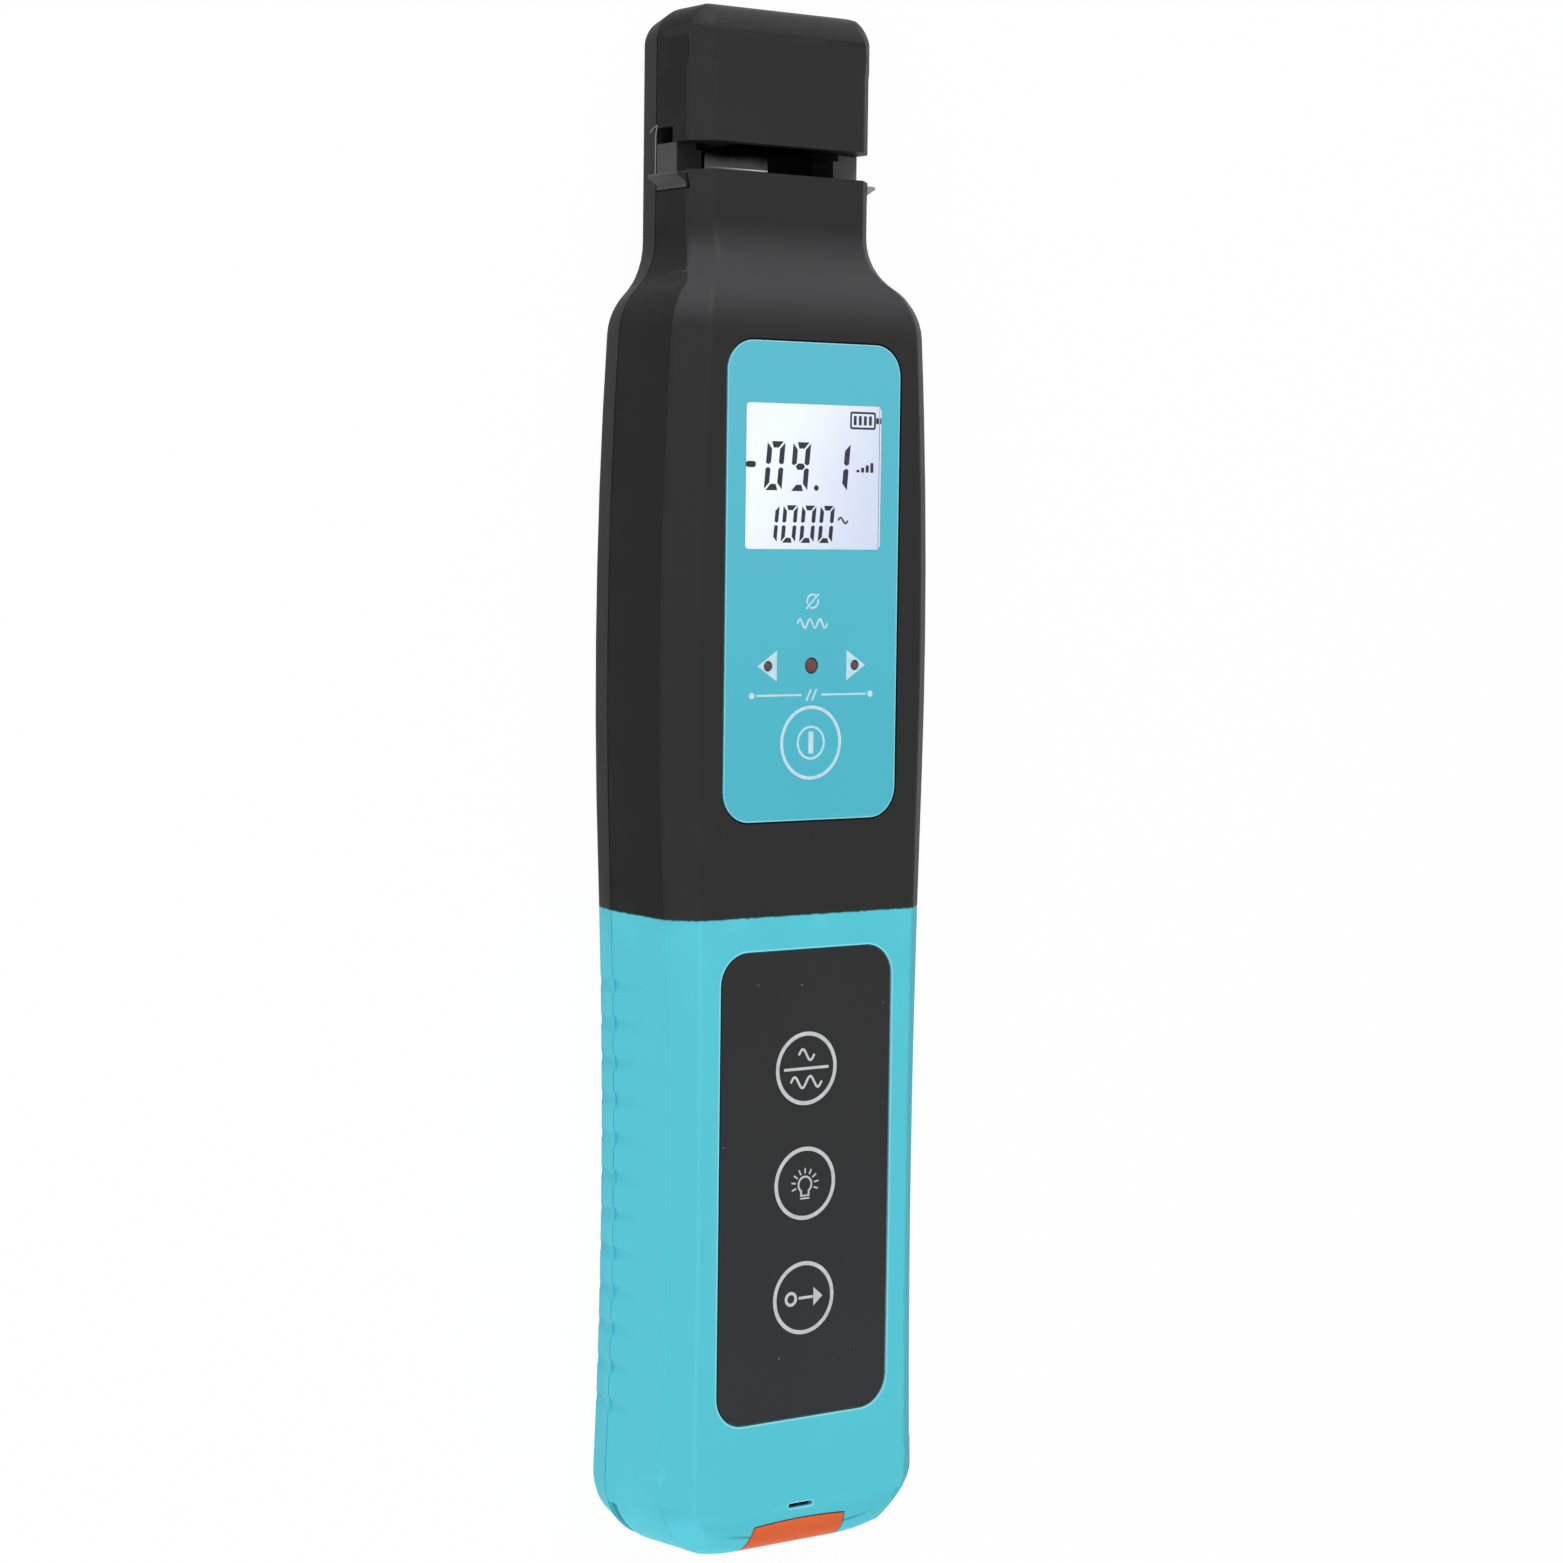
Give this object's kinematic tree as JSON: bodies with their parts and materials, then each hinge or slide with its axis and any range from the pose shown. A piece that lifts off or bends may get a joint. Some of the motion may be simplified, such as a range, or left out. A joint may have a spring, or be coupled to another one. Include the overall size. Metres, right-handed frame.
{
  "type": "optical fibre identifier",
  "caption": "Handheld tester that clamps a live optical fibre in a slot across its head, bends it and shows the light level on a display; a capped laser port is at the other end.",
  "frame": {"origin": "middle of the footprint, on the back face that the tool lies on", "axes": "+X to the right seen from the front, +Y along the tool towards the clamping head, +Z out of the front face"},
  "size_m": [0.0408, 0.196, 0.022],
  "materials": {
    "black_plastic": "fine spark texture, satin",
    "blue_grip": "soft matt second shot",
    "teal_film": "printed polyester film, satin",
    "black_film": "printed polyester film, satin",
    "clear_window": "clear acrylic",
    "display_glass": "liquid crystal glass",
    "white_plastic": "diffusing white",
    "circuit_board": "green solder mask",
    "black_switch": "moulded",
    "bright_steel": "bright rolled steel",
    "zinc_screw": "zinc plated",
    "brass": "turned brass",
    "ceramic": "white ceramic",
    "orange_cap": "soft satin",
    "cell_jacket": "plain jacket",
    "red_lens": "dark red epoxy"
  },
  "bodies": {
    "housing": {"front_shell": "black_plastic", "front_grip": "blue_grip", "rear_shell": "black_plastic", "rear_grip": "blue_grip", "head_cap": "black_plastic", "fibre_guide": "black_plastic", "bend_anvil": "bright_steel", "upper_label": "teal_film", "lower_label": "black_film", "display_window": "clear_window", "display_glass": "display_glass", "display_backlight": "white_plastic", "main_board": "circuit_board", "sounder": "black_switch", "clamp_spring": "bright_steel", "left_photodiode": "bright_steel", "right_photodiode": "bright_steel", "sensor_board": "circuit_board", "laser_housing": "brass", "ferrule_sleeve": "ceramic", "port_cap_pin": "bright_steel", "left_cell": "cell_jacket", "right_cell": "cell_jacket", "contact_plates": "bright_steel", "contact_springs": "bright_steel", "case_screws": "zinc_screw", "board_screws": "zinc_screw", "anvil_screws": "zinc_screw", "left_led": "red_lens", "signal_led": "red_lens", "right_led": "red_lens", "power_switch": "black_switch", "unit_switch": "black_switch", "light_switch": "black_switch", "laser_switch": "black_switch"},
    "clamp": {"clamp_piston": "black_plastic", "clamp_trigger": "black_plastic"},
    "port_cap": {"port_cap": "orange_cap"},
    "battery_cover": {"battery_cover": "blue_grip"},
    "power_key": {"power_key": "teal_film", "power_plunger": "white_plastic"},
    "unit_key": {"unit_key": "black_film", "unit_plunger": "white_plastic"},
    "light_key": {"light_key": "black_film", "light_plunger": "white_plastic"},
    "laser_key": {"laser_key": "black_film", "laser_plunger": "white_plastic"}
  },
  "joints": [
    {"name": "clamp_slide", "type": "slide", "parent": "housing", "child": "clamp", "axis": [0, 1, 0], "range_m": [0, 0.0038], "stiffness_N_per_m": 400, "springref_m": -0.004, "deforming": ["clamp_spring"]},
    {"name": "port_cap_swing", "type": "hinge", "parent": "housing", "child": "port_cap", "pos_m": [0, -0.0958, 0.0032], "axis": [1, 0, 0], "range_deg": [0, 90]},
    {"name": "battery_cover_tilt", "type": "hinge", "parent": "housing", "child": "battery_cover", "pos_m": [0, -0.07455, 0.00015], "axis": [-1, 0, 0], "range_deg": [0, 60]},
    {"name": "power_press", "type": "slide", "parent": "housing", "child": "power_key", "axis": [0, 0, -1], "range_m": [0, 0.00045], "stiffness_N_per_m": 1500, "springref_m": -0.0005},
    {"name": "unit_press", "type": "slide", "parent": "housing", "child": "unit_key", "axis": [0, 0, -1], "range_m": [0, 0.00045], "stiffness_N_per_m": 1500, "springref_m": -0.0005},
    {"name": "light_press", "type": "slide", "parent": "housing", "child": "light_key", "axis": [0, 0, -1], "range_m": [0, 0.00045], "stiffness_N_per_m": 1500, "springref_m": -0.0005},
    {"name": "laser_press", "type": "slide", "parent": "housing", "child": "laser_key", "axis": [0, 0, -1], "range_m": [0, 0.00045], "stiffness_N_per_m": 1500, "springref_m": -0.0005}
  ]
}
